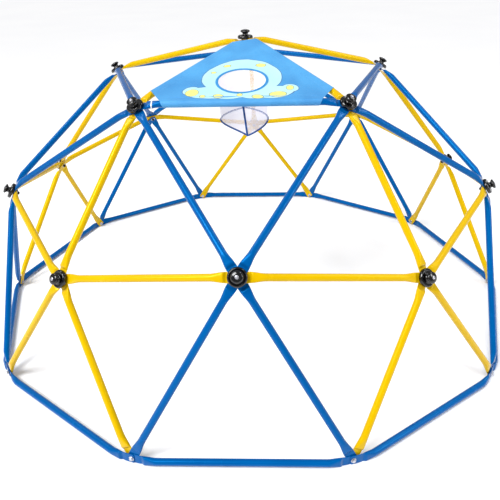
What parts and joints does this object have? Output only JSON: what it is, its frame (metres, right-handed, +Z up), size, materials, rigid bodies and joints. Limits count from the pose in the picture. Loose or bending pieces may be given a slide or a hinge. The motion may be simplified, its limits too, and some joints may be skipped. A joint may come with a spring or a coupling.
{
  "type": "dome climber",
  "caption": "Geodesic dome climber for a playground: blue and yellow steel tubes bolted at black hub knobs, with a fabric toss panel and mesh pouch in one upper triangle.",
  "frame": {"origin": "on the ground under the apex, at the centre of the base ring", "axes": "+Z up, -Y towards the front with the toss panel, +X to the right seen from the front"},
  "size_m": [2.4412, 2.3625, 1.2689],
  "materials": {
    "blue_tube": "gloss powder coat",
    "yellow_tube": "gloss powder coat",
    "knob": "gloss moulded",
    "panel": "coated woven polyester, printed",
    "net": "open mesh"
  },
  "bodies": {
    "root": {"apex_tube_1": "yellow_tube", "apex_tube_2": "yellow_tube", "apex_tube_3": "yellow_tube", "apex_tube_4": "yellow_tube", "apex_tube_5": "yellow_tube", "blue_leg_pair_1": "blue_tube", "blue_leg_pair_2": "blue_tube", "blue_leg_pair_3": "blue_tube", "blue_leg_pair_4": "blue_tube", "blue_leg_pair_5": "blue_tube", "blue_upper_pair_1": "blue_tube", "blue_upper_pair_2": "blue_tube", "blue_upper_pair_3": "blue_tube", "blue_upper_pair_4": "blue_tube", "blue_upper_pair_5": "blue_tube", "crown_tube_1": "blue_tube", "crown_tube_2": "blue_tube", "crown_tube_3": "blue_tube", "crown_tube_4": "blue_tube", "crown_tube_5": "blue_tube", "ground_tube_1": "blue_tube", "ground_tube_10": "blue_tube", "ground_tube_2": "blue_tube", "ground_tube_3": "blue_tube", "ground_tube_4": "blue_tube", "ground_tube_5": "blue_tube", "ground_tube_6": "blue_tube", "ground_tube_7": "blue_tube", "ground_tube_8": "blue_tube", "ground_tube_9": "blue_tube", "hub_knob_apex": "knob", "hub_knob_five_1": "knob", "hub_knob_five_2": "knob", "hub_knob_five_3": "knob", "hub_knob_five_4": "knob", "hub_knob_five_5": "knob", "hub_knob_six_1": "knob", "hub_knob_six_2": "knob", "hub_knob_six_3": "knob", "hub_knob_six_4": "knob", "hub_knob_six_5": "knob", "hub_knob_upper_1": "knob", "hub_knob_upper_2": "knob", "hub_knob_upper_3": "knob", "hub_knob_upper_4": "knob", "hub_knob_upper_5": "knob", "toss_panel": "panel", "toss_pouch": "net", "yellow_band_1": "yellow_tube", "yellow_band_2": "yellow_tube", "yellow_band_3": "yellow_tube", "yellow_band_4": "yellow_tube", "yellow_band_5": "yellow_tube", "yellow_leg_pair_1": "yellow_tube", "yellow_leg_pair_2": "yellow_tube", "yellow_leg_pair_3": "yellow_tube", "yellow_leg_pair_4": "yellow_tube", "yellow_leg_pair_5": "yellow_tube"}
  },
  "joints": []
}
